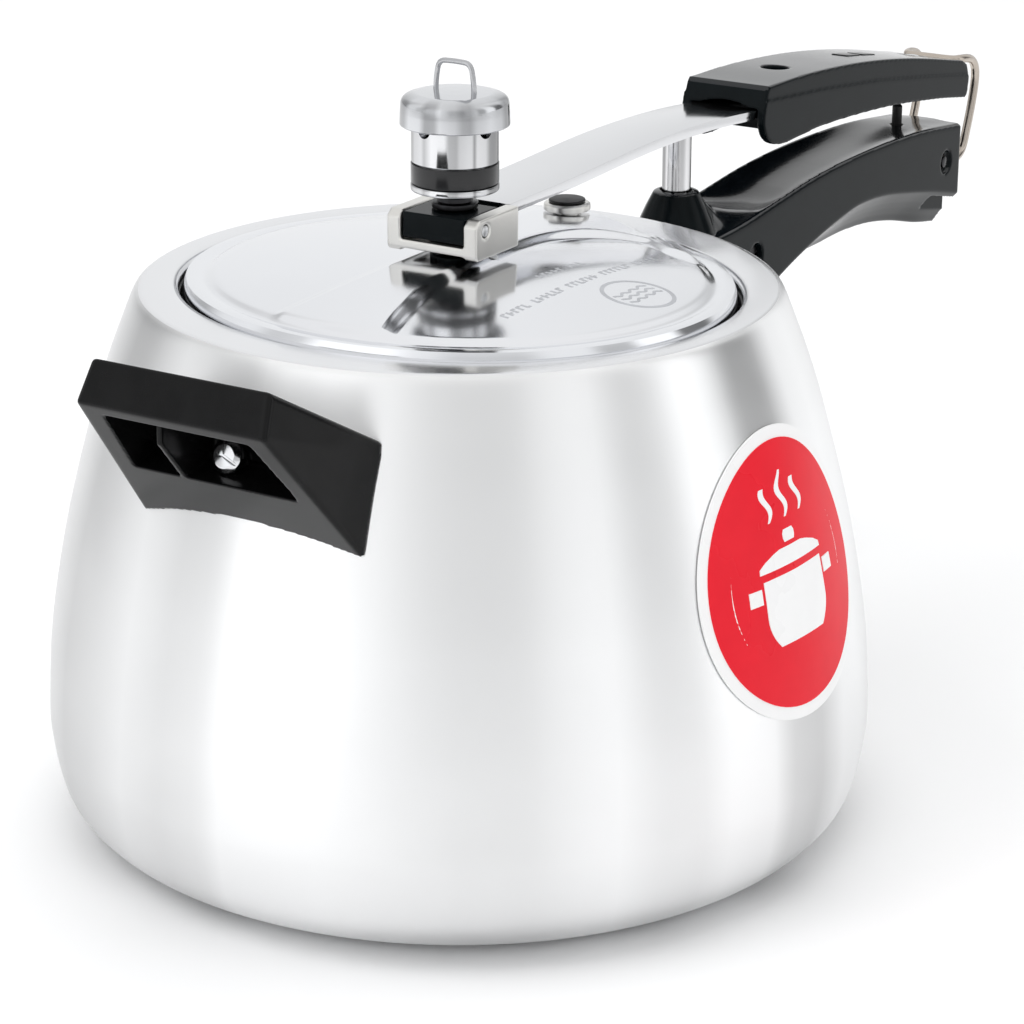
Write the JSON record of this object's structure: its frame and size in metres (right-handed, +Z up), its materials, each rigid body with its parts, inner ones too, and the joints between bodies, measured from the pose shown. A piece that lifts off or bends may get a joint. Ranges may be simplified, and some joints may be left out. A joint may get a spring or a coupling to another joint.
{
  "type": "stovetop pressure cooker",
  "caption": "Bellied aluminium pressure cooker with an oval inner lid on a rocking lever handle, a wire latch loop, a vent weight, a safety valve and a short helper handle.",
  "frame": {"origin": "centre of the base's flat underside, where the pot stands on the hob", "axes": "+X along the long handle away from the pot, +Z up out of the mouth, +Y across the handle"},
  "size_m": [0.4524, 0.2344, 0.2175],
  "materials": {
    "satin_aluminium": "satin, fine vertical and turned polishing lines",
    "polished_aluminium": "mirror polished",
    "red_label": "glossy red oval with a white border and a plain white pot pictogram",
    "black_phenolic": "moulded black phenolic, semi-gloss",
    "black_rubber": "smooth black rubber",
    "polished_steel": "bright polished stainless steel",
    "steel_wire": "bright drawn wire",
    "plated_steel": "bright plated steel",
    "brushed_steel": "brushed stainless sheet",
    "dark_steel": "blackened threaded tube",
    "rivet_aluminium": "plain turned aluminium"
  },
  "bodies": {
    "pot": {"pot_body": "satin_aluminium", "side_label": "red_label", "handle_bracket": "brushed_steel", "bracket_rivet_1": "rivet_aluminium", "bracket_rivet_2": "rivet_aluminium", "bracket_rivet_3": "rivet_aluminium", "bracket_rivet_4": "rivet_aluminium", "body_handle": "black_phenolic", "body_handle_bolt": "plated_steel", "body_handle_nut": "plated_steel", "handle_stop_peg": "black_rubber", "latch_pin": "plated_steel", "helper_pad": "brushed_steel", "helper_handle": "black_phenolic", "helper_stud": "rivet_aluminium", "helper_screw_nut": "plated_steel"},
    "latch": {"latch_loop": "steel_wire"},
    "lever": {"handle_bar": "polished_steel", "fulcrum_post": "polished_steel", "lid_handle": "black_phenolic", "lid_handle_screw_1": "plated_steel", "lid_handle_nut_1": "plated_steel", "lid_handle_screw_2": "plated_steel", "lid_handle_nut_2": "plated_steel", "pivot_pin": "plated_steel"},
    "lid": {"lid": "polished_aluminium", "gasket": "black_rubber", "pivot_block": "black_phenolic", "vent_tube": "dark_steel", "vent_tube_washer": "plated_steel", "vent_tube_nut": "plated_steel", "safety_valve_body": "polished_steel", "safety_valve_cap": "black_rubber", "safety_valve_nut": "plated_steel"},
    "needle": {"weight_needle": "brushed_steel"},
    "weight": {"weight_body": "polished_steel", "weight_band": "black_rubber", "weight_cap": "polished_steel", "weight_lift_loop": "steel_wire"}
  },
  "joints": [
    {"name": "lever_lift", "type": "hinge", "parent": "pot", "child": "lever", "pos_m": [0.123, 0, 0.1525], "axis": [0, -1, 0], "range_deg": [0, 6.5]},
    {"name": "lid_level", "type": "hinge", "parent": "lever", "child": "lid", "pos_m": [-0.009, 0, 0.173], "axis": [0, -1, 0], "range_deg": [-6.5, 0]},
    {"name": "latch_swing", "type": "hinge", "parent": "pot", "child": "latch", "pos_m": [0.289, 0, 0.1315], "axis": [0, 1, 0], "range_deg": [0, 100]},
    {"name": "weight_lift", "type": "slide", "parent": "lid", "child": "needle", "axis": [0, 0, 1], "range_m": [0, 0.03]},
    {"name": "weight_spin", "type": "hinge", "parent": "needle", "child": "weight", "pos_m": [-0.002, 0, 0.19], "axis": [0, 0, 1], "continuous": true}
  ],
  "couplings": [
    {"joint": "lid_level", "follows": "lever_lift", "ratio": -1},
    {"joint": "latch_swing", "follows": "lever_lift", "ratio": 15.385}
  ]
}
